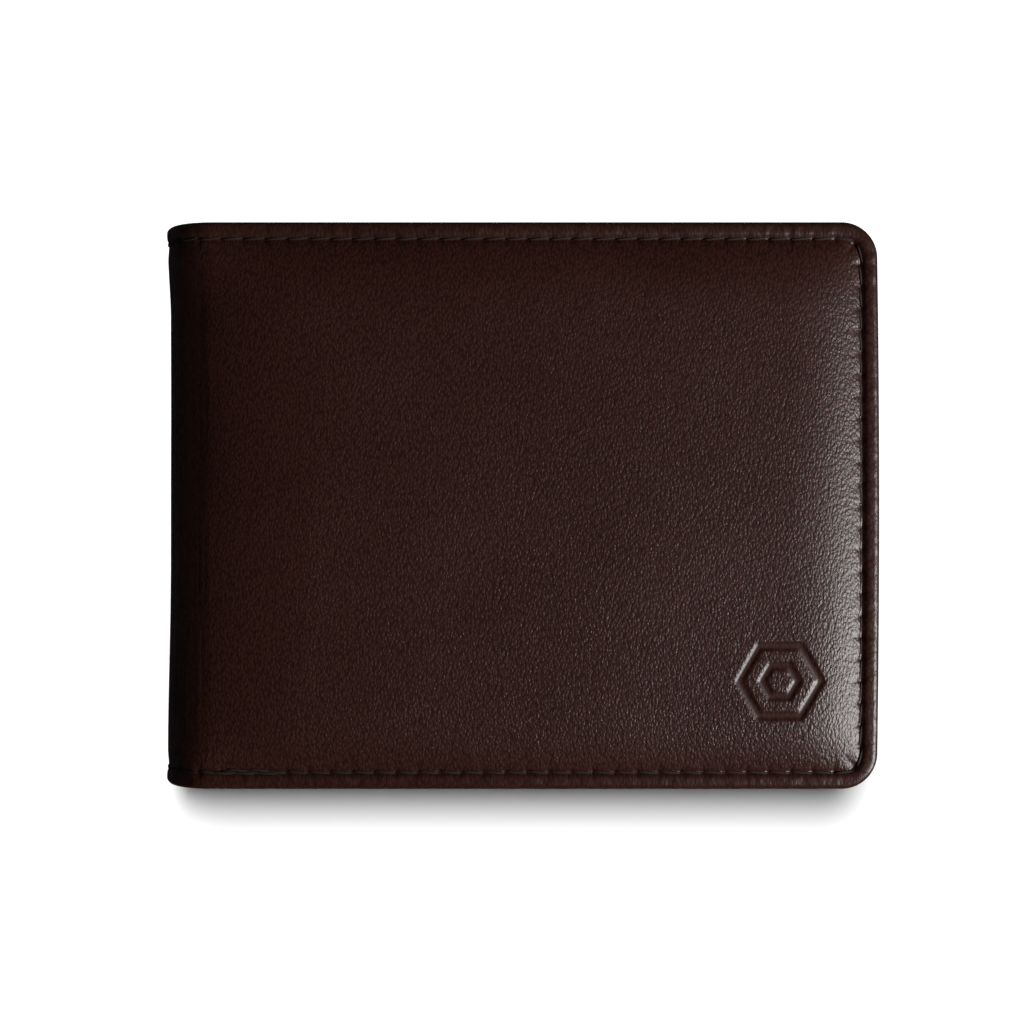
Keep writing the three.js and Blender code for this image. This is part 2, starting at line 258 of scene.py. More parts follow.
def slack(fold, y):
    """Slow unevenness of soft padding, nothing at the seam."""
    wave = noise.noise(Vector((fold / (24 * mm), y / (19 * mm), 3.0)))
    ripple = noise.noise(Vector((fold / (7 * mm), y / (9 * mm), 8.0)))
    inside = ease((min(panel - fold, half_length - abs(y)) - seam_in) / (9 * mm))
    along = fold * seam_height if fold < 0 else fold
    gather = noise.noise(Vector(((along - 0.3 * (y + half_length)) / (0.9 * mm), y / (9 * mm), 4.0)))
    near_start = bell(along - 2 * mm, 4 * mm) * bell(y + half_length - 5 * mm, 5 * mm)
    return (0.09 * wave + 0.02 * ripple) * mm * inside + 0.13 * mm * gather * near_start


# %% [markdown]
# The corners at the open edge are rounded. A line of the sheet at distance t from the edge keeps that
# distance round the corner, so square grid lines become nested rounded rectangles.
# %% Rounded corners
def corner_angle(past_x, past_y):
    """The turn round a corner, for a place that is past it in both directions on the square plan."""
    return math.pi / 4 * (past_y / past_x if past_x > past_y else 2 - past_x / past_y)


def to_corner(fold, y, inset_of):
    """fold and y on the rounded plan and t, for a place on the square plan."""
    past_x = fold - straight_end
    past_y = abs(y) - (half_length - corner)
    past = max(past_x, past_y)
    t = corner - past
    if past <= 0:
        return fold, y, t
    reach = corner - inset_of(t)
    angle = 0.0 if past_x > past_y else math.pi / 2
    if past_x > 0 and past_y > 0:
        angle = corner_angle(past_x, past_y)
    if past_x > 0:
        fold = straight_end + reach * math.cos(angle)
    if past_y > 0:
        y = math.copysign(half_length - corner + reach * math.sin(angle), y)
    return fold, y, t


def bow(fold, y):
    """The open edge bellies out a little between its corners."""
    return 0.4 * mm * (1 - (y / half_length) ** 2) * ease((fold - panel + 25 * mm) / (25 * mm))


def outer_cover(fold, y, side, mark=None):
    """A point of the leather's outer face. fold and y are on the square plan, past its edges in the hem."""
    run = run_at(max(fold, -math.pi / 2), y)
    edge = math.copysign(1, y)
    along, across, t = to_corner(fold, y, lambda t: roll_inset(t, roll, roll))
    press = pucker(t, run, edge) * ease((t + quarter) / (2 * quarter))
    if t <= -quarter:
        height = hem_under
    elif t < quarter:
        height = (rim + hem_under) / 2 + roll * math.sin(t / roll) + press
    elif t < seam_in:
        share = (t - quarter) / (seam_in - quarter)
        height = rim - (rim - seam_floor(fold)) * share**5 + press
    else:
        height = face_height(fold, y) + press + slack(fold, y)
        if mark:
            height -= mark(spine_x + along, across)
    return place(along + bow(fold, y), across, min(height, crown), side)


def inner_cover(fold, y, side):
    """A point of the leather's flesh side, under outer_cover."""
    along, across, t = to_corner(fold, y, lambda t: roll_inset(t, inner_roll, roll))
    if t <= -quarter:
        height = hem_upper
    elif t < quarter:
        height = hem_upper + inner_roll * (1 + math.sin(t / roll))
    elif t < seam_in:
        height = underside
    else:
        face = face_height(fold, y)
        height = max(face - leather, min(underside, face - flesh_gap))
    return place(along + bow(fold, y), across, height, side)


# %% [markdown]
# The emblem is pressed into the padded leather with a heated stamp: flat-bottomed channels with steep
# walls. A boolean would cut a hard edge, so the channel is pressed into the grid's own points, which are
# closer together there. The figure is a plain hexagon round a smaller one.
# %% The pressed emblem
emblem = Vector((41.2 * mm, -27.7 * mm))
emblem_reach = 7.2 * mm
apothems = 5.5 * mm, 2.4 * mm
channel = 1.15 * mm
channel_wall = 0.36 * mm
channel_depth = 0.25 * mm
dished = 0.05 * mm


def hexagon(x, y, turned):
    """Distance from the middle, measured square to a hexagon's sides."""
    angles = [turned + k * math.pi / 3 for k in range(3)]
    return max(abs(x * math.cos(a) + y * math.sin(a)) for a in angles)


def stamped(x, y):
    """1 on the floor of a channel and 0 outside it."""
    dx, dy = x - emblem.x, y - emblem.y
    if max(abs(dx), abs(dy)) > emblem_reach:
        return 0.0
    depth = 0.0
    for apothem in apothems:
        away = abs(hexagon(dx, dy, math.pi / 6) - apothem) - channel / 2
        depth = max(depth, 1 - ease((away + channel_wall / 2) / channel_wall))
    return depth


def pressed(x, y):
    """How deep the emblem is at a place, with the leather round it drawn down a little."""
    around = ease((emblem_reach - math.hypot(x - emblem.x, y - emblem.y)) / (2 * mm))
    return channel_depth * stamped(x, y) + dished * around


def grain_left(fold, y):
    """How much of the grain is left: less where the edge is stretched, and none in the emblem."""
    t = min(panel - fold, half_length - abs(y))
    stretched = 0.45 + 0.55 * ease((t - seam_in + 0.5 * mm) / (1.5 * mm))
    return stretched * (1 - 0.9 * stamped(spine_x + fold, y))


# %% [markdown]
# A grid operator makes each sheet, and its lines are then moved to where they are needed: close together
# round a rolled edge, the seam and the emblem, and wider on the plain leather. A second, coarser grid is
# the side that nobody sees. Bridging joins the two borders, so the sheet is closed and has its true
# thickness.
# %% Closed sheets from two grids
def graded(*stops):
    """Positions from the first stop to the last, each stretch divided into steps of about its own size."""
    out = [stops[0][0]]
    for (start, step), (end, _) in zip(stops, stops[1:]):
        count = max(1, round((end - start) / step))
        out += [start + (end - start) * (k + 1) / count for k in range(count)]
    return out


def grid_sheet(bm, lines, point, flat=None, grain=None):
    """A grid with its lines at columns and rows, every vertex moved by point(column, row)."""
    columns, rows = lines
    cols, rws = len(columns) - 1, len(rows) - 1
    shows = bm.verts.layers.float["grain"]
    for v in bmesh.ops.create_grid(bm, x_segments=cols, y_segments=rws, size=1)["verts"]:
        fold = columns[round((v.co.x + 1) / 2 * cols)]
        y = rows[round((v.co.y + 1) / 2 * rws)]
        v.co = point(fold, y)
        v[shows] = grain(fold, y) if grain else 1.0
        if flat is not None:
            flat[v] = (fold * rim if fold < 0 else fold, y)


def to_piece(bm, name, material):
    """The bmesh as an object with one material, and the slot that its finish comes from."""
    bmesh.ops.recalc_face_normals(bm, faces=bm.faces)
    for face in bm.faces:
        face.smooth = True
    mesh = bpy.data.meshes.new(name)
    bm.to_mesh(mesh)
    triangles = sum(len(f.verts) - 2 for f in bm.faces)
    print(name, "triangles", triangles, "volume, mm3", round(bm.calc_volume() / mm**3, 1))
    bm.free()
    piece = bpy.data.objects.new(name, mesh)
    bpy.context.scene.collection.objects.link(piece)
    mesh.materials.append(material)
    return piece


def shell(name, lines, outer, inner, material, back_lines=None, grain=None):
    """The closed sheet between two faces, with its flat pattern in metres as a UV map."""
    bm = bmesh.new()
    uv = bm.loops.layers.uv.new("flat_pattern")
    bm.verts.layers.float.new("grain")
    flat = {}
    grid_sheet(bm, lines, outer, flat, grain)
    for face in bm.faces:
        for loop in face.loops:
            loop[uv].uv = flat[loop.vert]
    grid_sheet(bm, back_lines or lines, inner)
    border = [e for e in bm.edges if e.is_boundary]
    rims = bmesh.ops.bridge_loops(bm, edges=border)["faces"]
    for face in rims:
        for loop in face.loops:
            loop[uv].uv = flat.get(loop.vert, (0, 0))
    for edge in border:
        edge.smooth = False
    return to_piece(bm, name, material)


# %% [markdown]
# Leather is dark because its dye soaks in, and shines because its finish sits on top. Its grain is made
# of small raised pebbles with fine valleys between them, stretched along the hide. Cells of a Voronoi
# texture give the pebbles, read from the sheet's own flat pattern in metres, so that the grain runs
# round the edges and the spine as it does on real leather.
# %% Leather
hide_direction = math.radians(28)
hide_stretch = (1.0, 0.58, 1.0)


def add_node(tree, kind, inputs=None, **settings):
    made = tree.nodes.new(kind)
    for key, value in settings.items():
        setattr(made, key, value)
    for key, value in (inputs or {}).items():
        made.inputs[key].default_value = value
    return made


def new_material(name, roughness, specular=0.5):
    """A material with its node tree, shader and linking call."""
    material = bpy.data.materials.new(name)
    material.use_nodes = True
    tree = material.node_tree
    shader = tree.nodes["Principled BSDF"]
    shader.inputs["Roughness"].default_value = roughness
    shader.inputs["Specular IOR Level"].default_value = specular
    return material, tree, shader, tree.links.new


def leather_material(name, colour, roughness, grain, depth, specular=0.4):
    material, tree, shader, link = new_material(name, roughness, specular)
    uv = add_node(tree, "ShaderNodeUVMap", uv_map="flat_pattern")
    turn = add_node(tree, "ShaderNodeMapping")
    turn.inputs["Rotation"].default_value = (0, 0, hide_direction)
    turn.inputs["Scale"].default_value = hide_stretch
    link(uv.outputs["UV"], turn.inputs["Vector"])
    wobble = add_node(tree, "ShaderNodeTexNoise", {"Scale": 0.55 / grain, "Detail": 2.0})
    link(turn.outputs["Vector"], wobble.inputs["Vector"])
    shift = add_node(tree, "ShaderNodeVectorMath", operation="SCALE")
    shift.inputs["Scale"].default_value = 0.9 * grain
    link(wobble.outputs["Color"], shift.inputs[0])
    moved = add_node(tree, "ShaderNodeVectorMath", operation="ADD")
    link(turn.outputs["Vector"], moved.inputs[0])
    link(shift.outputs["Vector"], moved.inputs[1])
    pebbles = add_node(tree, "ShaderNodeTexVoronoi", {"Scale": 1 / grain}, feature="SMOOTH_F1")
    pebbles.inputs["Smoothness"].default_value = 0.25
    link(moved.outputs["Vector"], pebbles.inputs["Vector"])
    fine = add_node(tree, "ShaderNodeTexVoronoi", {"Scale": 2.3 / grain}, feature="SMOOTH_F1")
    fine.inputs["Smoothness"].default_value = 0.4
    link(moved.outputs["Vector"], fine.inputs["Vector"])
    both = add_node(tree, "ShaderNodeMath", operation="MULTIPLY_ADD")
    both.inputs[1].default_value = 0.4
    link(fine.outputs["Distance"], both.inputs[0])
    link(pebbles.outputs["Distance"], both.inputs[2])
    bump = add_node(tree, "ShaderNodeBump", {"Strength": 1.0, "Distance": depth}, invert=True)
    link(both.outputs[0], bump.inputs["Height"])
    shows = add_node(tree, "ShaderNodeAttribute", attribute_name="grain")
    link(shows.outputs["Fac"], bump.inputs["Strength"])
    link(bump.outputs["Normal"], shader.inputs["Normal"])
    cloud = add_node(tree, "ShaderNodeTexNoise", {"Scale": 38.0, "Detail": 4.0, "Roughness": 0.6})
    link(uv.outputs["UV"], cloud.inputs["Vector"])
    tone = add_node(tree, "ShaderNodeMix", data_type="RGBA")
    tone.inputs["A"].default_value = (*[c * 0.8 for c in colour], 1)
    tone.inputs["B"].default_value = (*[c * 1.2 for c in colour], 1)
    link(cloud.outputs["Fac"], tone.inputs["Factor"])
    # The valleys between the pebbles are painted darker than the pebbles. This is painted shade in the grain,
    # multiplied into the leather's colour.
    painted_valley_shade = add_node(tree, "ShaderNodeMapRange", {"From Min": 0.25, "From Max": 0.75, "To Min": 1.0})
    painted_valley_shade.inputs["To Max"].default_value = 0.5
    link(pebbles.outputs["Distance"], painted_valley_shade.inputs["Value"])
    tone_with_painted_shade = add_node(tree, "ShaderNodeVectorMath", operation="SCALE")
    link(tone.outputs["Result"], tone_with_painted_shade.inputs[0])
    link(painted_valley_shade.outputs["Result"], tone_with_painted_shade.inputs["Scale"])
    link(tone_with_painted_shade.outputs["Vector"], shader.inputs["Base Color"])
    worn = add_node(tree, "ShaderNodeMapRange", {"To Min": roughness - 0.05, "To Max": roughness + 0.06})
    link(cloud.outputs["Fac"], worn.inputs["Value"])
    link(worn.outputs["Result"], shader.inputs["Roughness"])
    return material


cover_brown, inner_brown = (0.033, 0.0098, 0.0064), (0.034, 0.0115, 0.0080)
cover_leather = leather_material("cover_leather", cover_brown, 0.35, 0.39 * mm, 0.062 * mm, 0.36)
inner_leather = leather_material("inner_leather", inner_brown, 0.42, 0.36 * mm, 0.06 * mm)

# %% [markdown]
# The lining is a fine plain-woven cloth. Two sets of soft bands at right angles stand for warp and weft,
# and a noise keeps their threads uneven. Waxed thread, board and padding need less: a fibre noise for
# colour and relief is enough at their size.
# %% Cloth, thread, board and padding
def woven_material(name, colour, thread):
    material, tree, shader, link = new_material(name, 0.62, 0.35)
    shader.inputs["Sheen Weight"].default_value = 0.25
    shader.inputs["Sheen Roughness"].default_value = 0.4
    uv = add_node(tree, "ShaderNodeUVMap", uv_map="flat_pattern")
    bands = []
    for direction in ("X", "Y"):
        wave = add_node(tree, "ShaderNodeTexWave", {"Scale": 0.314 / thread, "Distortion": 0.6})
        wave.bands_direction = direction
        link(uv.outputs["UV"], wave.inputs["Vector"])
        bands.append(wave)
    weave = add_node(tree, "ShaderNodeMath", operation="MULTIPLY")
    link(bands[0].outputs["Fac"], weave.inputs[0])
    link(bands[1].outputs["Fac"], weave.inputs[1])
    bump = add_node(tree, "ShaderNodeBump", {"Strength": 1.0, "Distance": 0.08 * mm})
    link(weave.outputs[0], bump.inputs["Height"])
    link(bump.outputs["Normal"], shader.inputs["Normal"])
    yarn = add_node(tree, "ShaderNodeTexNoise", {"Scale": 900.0, "Detail": 3.0})
    link(uv.outputs["UV"], yarn.inputs["Vector"])
    tone = add_node(tree, "ShaderNodeMix", data_type="RGBA")
    tone.inputs["A"].default_value = (*[c * 0.7 for c in colour], 1)
    tone.inputs["B"].default_value = (*[c * 1.35 for c in colour], 1)
    link(yarn.outputs["Fac"], tone.inputs["Factor"])
    link(tone.outputs["Result"], shader.inputs["Base Color"])
    return material


def fibre_material(name, colour, roughness, scale, depth, stretch=(1, 1, 1)):
    material, tree, shader, link = new_material(name, roughness, 0.35)
    where = add_node(tree, "ShaderNodeTexCoord")
    turn = add_node(tree, "ShaderNodeMapping", {"Scale": stretch})
    link(where.outputs["Object"], turn.inputs["Vector"])
    fibre = add_node(tree, "ShaderNodeTexNoise", {"Scale": scale, "Detail": 4.0, "Roughness": 0.65})
    link(turn.outputs["Vector"], fibre.inputs["Vector"])
    bump = add_node(tree, "ShaderNodeBump", {"Strength": 1.0, "Distance": depth})
    link(fibre.outputs["Fac"], bump.inputs["Height"])
    link(bump.outputs["Normal"], shader.inputs["Normal"])
    tone = add_node(tree, "ShaderNodeMix", data_type="RGBA")
    tone.inputs["A"].default_value = (*[c * 0.65 for c in colour], 1)
    tone.inputs["B"].default_value = (*[c * 1.4 for c in colour], 1)
    link(fibre.outputs["Fac"], tone.inputs["Factor"])
    link(tone.outputs["Result"], shader.inputs["Base Color"])
    return material


lining_cloth = woven_material("lining_cloth", (0.016, 0.0085, 0.0065), 0.32 * mm)
waxed_thread = fibre_material("waxed_thread", (0.0075, 0.004, 0.0034), 0.75, 2500, 0.05 * mm)
stiff_board = fibre_material("stiff_board", (0.24, 0.19, 0.14), 0.85, 900, 0.04 * mm, (1, 3, 1))
soft_padding = fibre_material("soft_padding", (0.55, 0.53, 0.48), 0.95, 1400, 0.12 * mm)

# %% [markdown]
# Leather and cloth bend round the spine. Each piece is blended between the two bodies of one hinge, and
# neighbours meet where both follow the same body, so the wallet opens with no gap. The points where the
# bend starts and ends are taken at the piece's smallest radius, so that all its layers turn fully.
# %% Bending round the spine
halves = (("front", 1), ("back", -1))


def bend(piece, over, innermost, side):
    """Blends a piece across the hinge it lies over: the one at the panel, or the one in the spine."""
    name = "front" if side > 0 else "back"
    bodies, start, end = {
        "panel": ((f"spine_{name}", f"{name}_half"), -slat, 0.0),
        "spine": (("spine_mid", f"spine_{name}"), -2 * slat, -slat),
    }[over]
    first, last = place(start, 0, innermost, side), place(end, 0, innermost, side)
    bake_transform(piece, *bodies, start=first, end=last)
    return piece


# %% [markdown]
# The cover is the piece that gives the wallet its look, so it gets by far the finest grid. It is cut
# from one hide on the real wallet. Here it is four pieces that share their borders, one for each hinge.
# %% The leather cover
rolled = [(hem_end, 1.0 * mm), (-quarter, 0.22 * mm), (seam_in + 0.6 * mm, 0.3 * mm), (8 * mm, 0.5 * mm)]
plain = [(hem_end, 4 * mm), (-quarter, 0.5 * mm), (seam_in, 2 * mm), (8 * mm, 4 * mm)]


def edge_ts(stops, scale):
    return graded(*[(at, step * scale) for at, step in stops])


def across_rows(stops, step, scale=1.0, fine=()):
    """Lines across a sheet, from one rolled edge to the other."""
    ends = edge_ts(stops, scale)
    inner = graded((ends[-1] - half_length, step), *fine, (half_length - ends[-1], step))
    return [t - half_length for t in ends[:-1]] + inner + [half_length - t for t in reversed(ends[:-1])]


def along_columns(stops, step, arc_step, scale=1.0, fine=()):
    """Lines along a sheet, from the spine's first bend to the rolled open edge."""
    ends = edge_ts(stops, scale)
    arc = graded((-slat, arc_step), (0.0, arc_step))
    flat = graded((0.0, step), *fine, (panel - ends[-1], step))
    return arc + flat[1:] + [panel - t for t in reversed(ends[:-1])]


near_x = [(emblem.x - spine_x - emblem_reach, 0.27 * mm), (emblem.x - spine_x + emblem_reach, 0.5 * mm)]
near_y = [(emblem.y - emblem_reach, 0.27 * mm), (emblem.y + emblem_reach, 0.5 * mm)]
bend_step = math.radians(2.2)
rows = {1: across_rows(rolled, 0.5 * mm, 1.0, near_y), -1: across_rows(rolled, 0.8 * mm, 1.3)}
columns = {1: along_columns(rolled, 0.5 * mm, bend_step, 1.0, near_x)}
columns[-1] = along_columns(rolled, 0.8 * mm, bend_step, 1.3)
spine_lines = graded((-2 * slat, bend_step), (-slat, bend_step))
plain_rows = across_rows(plain, 5 * mm)
plain_panel = along_columns(plain, 5 * mm, 5 * bend_step), plain_rows
plain_spine = graded((-2 * slat, 5 * bend_step), (-slat, 5 * bend_step)), plain_rows
covers = {}
for half, side in halves:
    mark = pressed if side > 0 else None
    cover = shell(
        f"leather_cover_{half}",
        (columns[side], rows[side]),
        lambda fold, y: outer_cover(fold, y, side, mark),
        lambda fold, y: inner_cover(fold, y, side),
        cover_leather,
        plain_panel,
        grain_left,
    )
    spine = shell(
        f"leather_spine_{half}",
        (spine_lines, rows[side]),
        lambda fold, y: outer_cover(fold, y, side),
        lambda fold, y: inner_cover(fold, y, side),
        cover_leather,
        plain_spine,
        grain_left,
    )
    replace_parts(bend(cover, "panel", hem_under, side), f"cover_{half}")
    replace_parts(bend(spine, "spine", hem_under, side), f"cover_spine_{half}")
    covers[half], covers[f"spine_{half}"] = cover, spine
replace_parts(covers["spine_front"], "cover_spine_mid")

# %% [markdown]
# Under the leather a soft pad lies on a stiff board. The pad follows the underside of the cover and is
# flat where it rests on the board. It is a crowned form that thins to its edges, made of a shaped grid
# bridged to a flat one.
# %% Pads and boards
pad_fold, pad_y, pad_height = out_of("padding_front")
pad_step = 2 * mm
pad_gap = 0.12 * mm
pad_lines = [graded((start, pad_step), (end, pad_step)) for start, end in (pad_fold, pad_y)]


def pad_top(fold, y):
    """The pad's upper face, which thins towards its border."""
    under = inner_cover(fold, y, 1).z - middle - pad_gap
    border = min(fold - pad_fold[0], pad_fold[1] - fold, y - pad_y[0], pad_y[1] - y)
    thin = ease(border / (2 * mm) + 0.2)
    return pad_height[0] + (under - pad_height[0]) * thin


for half, side in halves:
    pad = shell(
        f"padding_sheet_{half}",
        pad_lines,
        lambda fold, y: place(fold, y, pad_top(fold, y), side),
        lambda fold, y: place(fold, y, pad_height[0], side),
        soft_padding,
    )
    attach(pad, f"{half}_half")
    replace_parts(pad, f"padding_{half}")
    board = bpy.data.objects[f"board_{half}"]
    board.data.materials.clear()
    board.data.materials.append(stiff_board)

# %% [markdown]
# A lockstitch shows as a short slanted lump of thread whose ends dive into the holes. Each is a small
# stretched sphere with few faces, because there are hundreds of them. The thread is set into the groove,
# a little proud of its floor. Beside the spine at the bottom, where the sewing starts and ends, a few
# stitches are sewn over.
# %% Stitches
stitch_length = pitch * 0.93
stitch_width, stitch_height = 0.5 * mm, 0.42 * mm
ahead_by = 0.1 * mm


def stitch(bm, centre, along, up, slant):
    """One stitch: a stretched sphere lying along the seam, turned a little about its upright."""
    along, up = along.normalized(), up.normalized()
    across = up.cross(along)
    along = (along + slant * across).normalized()
    across = up.cross(along)
    axes = Matrix((across * stitch_width / 2, up * stitch_height / 2, along * stitch_length / 2)).transposed()
    at = Matrix.Translation(centre) @ axes.to_4x4()
    bmesh.ops.create_uvsphere(bm, u_segments=6, v_segments=6, radius=1, matrix=at)


def sewn_runs(bm, side, low_run, high_run, height_at, inset=seam_in, edges=(1, -1), shift=0.5):
    """Stitches between two places of the seam's run, at the top and the bottom edge."""
    for edge in edges:
        for k in range(stitch_count):
            run = (k + shift) * pitch
            if not low_run <= run < high_run:
                continue
            fold, y, _ = seam_point(run, edge, inset)
            ahead = seam_point(run + ahead_by, edge, inset)
            height = height_at(fold, y)
            here = place(fold, y, height, side)
            there = place(ahead[0], ahead[1], height, side)
            up = place(fold, y, height + mm, side) - here
            stitch(bm, here, there - here, up, 0.10 * edge * side)


def in_groove(fold, y):
    return seam_floor(fold) - 0.02 * mm


def over_groove(fold, y):
    return groove_floor + 0.1 * mm


spine_run = arc_run - slat * seam_height
sewn_over = arc_run + 0.5 * mm, arc_run + 3 * pitch
for half, side in halves:
    bm = bmesh.new()
    sewn_runs(bm, side, spine_run, seam_run, in_groove)
    for offset, shift in ((-0.15 * mm, 0.1), (0.35 * mm, 0.75)):
        sewn_runs(bm, side, *sewn_over, over_groove, seam_in + offset, (-1,), shift)
    seam = to_piece(bm, f"seam_stitches_{half}", waxed_thread)
    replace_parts(bend(seam, "panel", groove_floor, side), f"seam_thread_{half}")
    bm = bmesh.new()
    sewn_runs(bm, side, 0.0, spine_run, in_groove)
    turn = to_piece(bm, f"spine_stitches_{half}", waxed_thread)
    solids = [f"thread_{end}_spine_{half}" for end in ("top", "bottom")]
    if side > 0:
        solids += [f"thread_{end}_spine_mid" for end in ("top", "bottom")]
    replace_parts(bend(turn, "spine", groove_floor, side), *solids)

# %% [markdown]
# The banknote pocket lies between two cloth sheets: the lining, glued to the cover's inside, and the
# inner wall, which is lower so that notes can be gripped. Both are carried round the spine, so each is
# cut long and bent. A narrow folded hem keeps them apart along the bottom and the open edges.
# %% Cloth round the spine
lining_fold, lining_y, _ = out_of("bill_lining_front")
wall_fold, wall_y, _ = out_of("inner_wall_front")
cloth = 0.2 * mm
lining_in = 6.3 * mm
wall_in = 5.35 * mm
hem_in, hem_out = 5.65 * mm, 6.2 * mm
hem_width = 3.2 * mm
gentle = math.radians(4.5)


def round_off(fold, y, end, edge, radius):
    """A square-cornered plan with its corners at the open edge made round."""
    past_x, past_y = fold - (end - radius), abs(y) - (edge - radius)
    if past_x <= 0 or past_y <= 0:
        return fold, y
    reach = max(past_x, past_y)
    angle = corner_angle(past_x, past_y)
    across = edge - radius + reach * math.sin(angle)
    return end - radius + reach * math.cos(angle), math.copysign(across, y)


def ripple(fold, y, seed):
    """Cloth that isn't glued down lies a little uneven, but not at its sewn border or in the spine."""
    inside = ease((fold - 5 * mm) / (9 * mm)) * ease((panel - 6 * mm - fold) / (9 * mm))
    return 0.08 * mm * noise.noise(Vector((fold / (17 * mm), y / (11 * mm), seed))) * inside


def folds_to(end, over):
    """Lines along a cloth, for its panel piece or its spine piece."""
    if over == "spine":
        return graded((-2 * slat, gentle), (-slat, gentle))
    radius = 5 * mm
    near_end = graded((0.0, 2 * mm), (end - radius, 0.6 * mm), (end, 0.6 * mm))
    return graded((-slat, gentle), (0.0, gentle)) + near_end[1:]


def cloth_rows(low, high):
    return graded((low, 0.6 * mm), (low + 5 * mm, 2 * mm), (high - 5 * mm, 0.6 * mm), (high, 0.6 * mm))


def lay_cloth(name, side, over, low, high, end, height, top_rounded):
    """One piece of a cloth sheet, closed and bent over its hinge. Its bottom corner is always rounded."""

    def at(face):
        def point(fold, y):
            along, across = fold, y
            if y < 0 or top_rounded:
                along, across = round_off(fold, y, end, abs(low), 4.2 * mm)
            return place(along, across, height + face + ripple(fold, y, height / mm), side)

        return point

    lines = folds_to(end, over), cloth_rows(low, high)
    piece = shell(name, lines, at(0.0), at(cloth), lining_cloth)
    return bend(piece, over, height, side)


def strip(name, lines, near, far, side, material):
    """A narrow folded strip along the bottom, round the corner and up the open edge."""

    def at(height):
        def point(run, inset):
            fold, y, _ = seam_point(run, -1, inset)
            return place(fold, y, height, side)

        return point

    return shell(name, lines, at(near), at(far), material)


hem_insets = graded((panel - wall_fold[1], 0.8 * mm), (panel - wall_fold[1] + hem_width, 0.8 * mm))
corner_start = arc_run + straight_end
past_corner = seam_run - 39 * mm


def runs_to(end, *start):
    """Places along a strip: its start, then close together round the corner, then up the open edge."""
    return graded(*start, (corner_start, 0.5 * mm), (past_corner, 3 * mm), (end, 3 * mm))


wall_runs = runs_to(seam_run + wall_y[1], (spine_run, 0.6 * mm), (arc_run, 3 * mm))
for half, side in halves:
    for over in ("panel", "spine"):
        tail = half if over == "panel" else f"spine_{half}"
        lining = lay_cloth(f"lining_{tail}", side, over, *lining_y, lining_fold[1], lining_in, True)
        wall = lay_cloth(f"inner_wall_{tail}_cloth", side, over, *wall_y, wall_fold[1], wall_in, False)
        runs = wall_runs if over == "panel" else graded((0.0, 0.6 * mm), (spine_run, 0.6 * mm))
        lines = runs, hem_insets
        hem = strip(f"wall_hem_{tail}_cloth", lines, hem_in, hem_out, side, lining_cloth)
        bend(hem, over, hem_in, side)
        middle_too = [f"spine_{half}"] + (["spine_mid"] if side > 0 else [])
        tails = [half] if over == "panel" else middle_too
        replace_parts(lining, *[f"bill_lining_{t}" for t in tails])
        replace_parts(wall, *[f"inner_wall_{t}" for t in tails])
        hems = [f"wall_hem_{t}" for t in tails]
        if over == "panel":
            hems = [f"wall_hem_bottom_{half}", f"wall_hem_side_{half}"]
        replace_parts(hem, *hems)

# %% [markdown]
# Each inner half is faced with a leather slip panel. Its top edge is turned back over itself and creased
# with a heated tool, which leaves a fine line below the edge. Behind its other two edges lies a folded
# strip of the same leather that stiffens the seam.
# %% Slip panels
slip_fold, slip_y, _ = out_of("slip_panel_front")
slip_in, slip_back = 4.0 * mm, 5.25 * mm
slip_leather = 0.5 * mm
slip_roll = (slip_back - slip_in) / 2
slip_turn = slip_roll * math.pi / 2
slip_hem_in = 4.6 * mm


def crease(d):
    """A heated tool's line, a little below a turned edge."""
    return 0.11 * mm * bell(d - 2.2 * mm, 0.22 * mm) - 0.06 * mm * bell(d - 1.0 * mm, 0.9 * mm)


def slip_face(face, side):
    """The slip panel at one of its two faces, folded back outwards along its top edge."""

    def point(fold, y):
        d = slip_y[1] - y
        along, across = fold, y
        height = slip_in + face + (crease(d) if face == 0 and d > slip_turn else 0.0)
        if y < 0:
            along, across = round_off(fold, y, slip_fold[1], abs(slip_y[0]), 4.8 * mm)
        if d < slip_turn:
            radius = slip_roll - face
            swing = max(-math.pi / 2, d / slip_roll)
            across = slip_y[1] - slip_roll + radius * math.cos(swing) + min(0.0, d + slip_turn)
            height = slip_in + slip_roll - radius * math.sin(swing)
        return place(along, across, height, side)

    return point


slip_end = slip_y[1] + slip_turn + hem_width - slip_roll
slip_columns = graded((slip_fold[0], 1.2 * mm), (slip_fold[1] - 5 * mm, 0.5 * mm), (slip_fold[1], 0.5 * mm))
slip_low = graded((slip_y[0], 0.5 * mm), (slip_y[0] + 5 * mm, 2 * mm), (slip_y[1] - 4 * mm, 2 * mm))
slip_high = graded((slip_low[-1], 0.12 * mm), (slip_y[1] + slip_turn, 0.6 * mm), (slip_end, 0.6 * mm))
slip_lines = slip_columns, slip_low + slip_high[1:]
strip_runs = runs_to(seam_run + slip_y[1] - hem_width - 0.1 * mm, (arc_run + slip_fold[0], 3 * mm))
for half, side in halves:
    slip = shell(
        f"slip_panel_leather_{half}",
        slip_lines,
        slip_face(0.0, side),
        slip_face(slip_leather, side),
        inner_leather,
    )
    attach(slip, f"{half}_half")
    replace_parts(slip, f"slip_panel_{half}", f"slip_hem_top_{half}")
    lines = strip_runs, hem_insets
    name = f"slip_hem_leather_{half}"
    hem = strip(name, lines, slip_hem_in, slip_back, side, inner_leather)
    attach(hem, f"{half}_half")
    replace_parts(hem, f"slip_hem_bottom_{half}", f"slip_hem_side_{half}")

# %% [markdown]
# The card pockets are stepped strips of leather sewn down along three edges. Sewing pulls them flat on
# the panel there, and between the seams they stand off it with room for cards. Every layer gets the same
# easing from its sewn height to its free height, so the layers never cross.
# %% Card pockets
pocket_left = out_of("pocket_edge_gutter_front")[0][0]
pocket_right = out_of("pocket_edge_side_front")[0][1]
pocket_bottom = out_of("pocket_edge_bottom_front")[1][0]
pocket_top = out_of("card_slot_upper_front")[1][1]
sewn_border = 1.5 * mm
stand_off = 11 * mm
mouth_round = 0.35 * mm
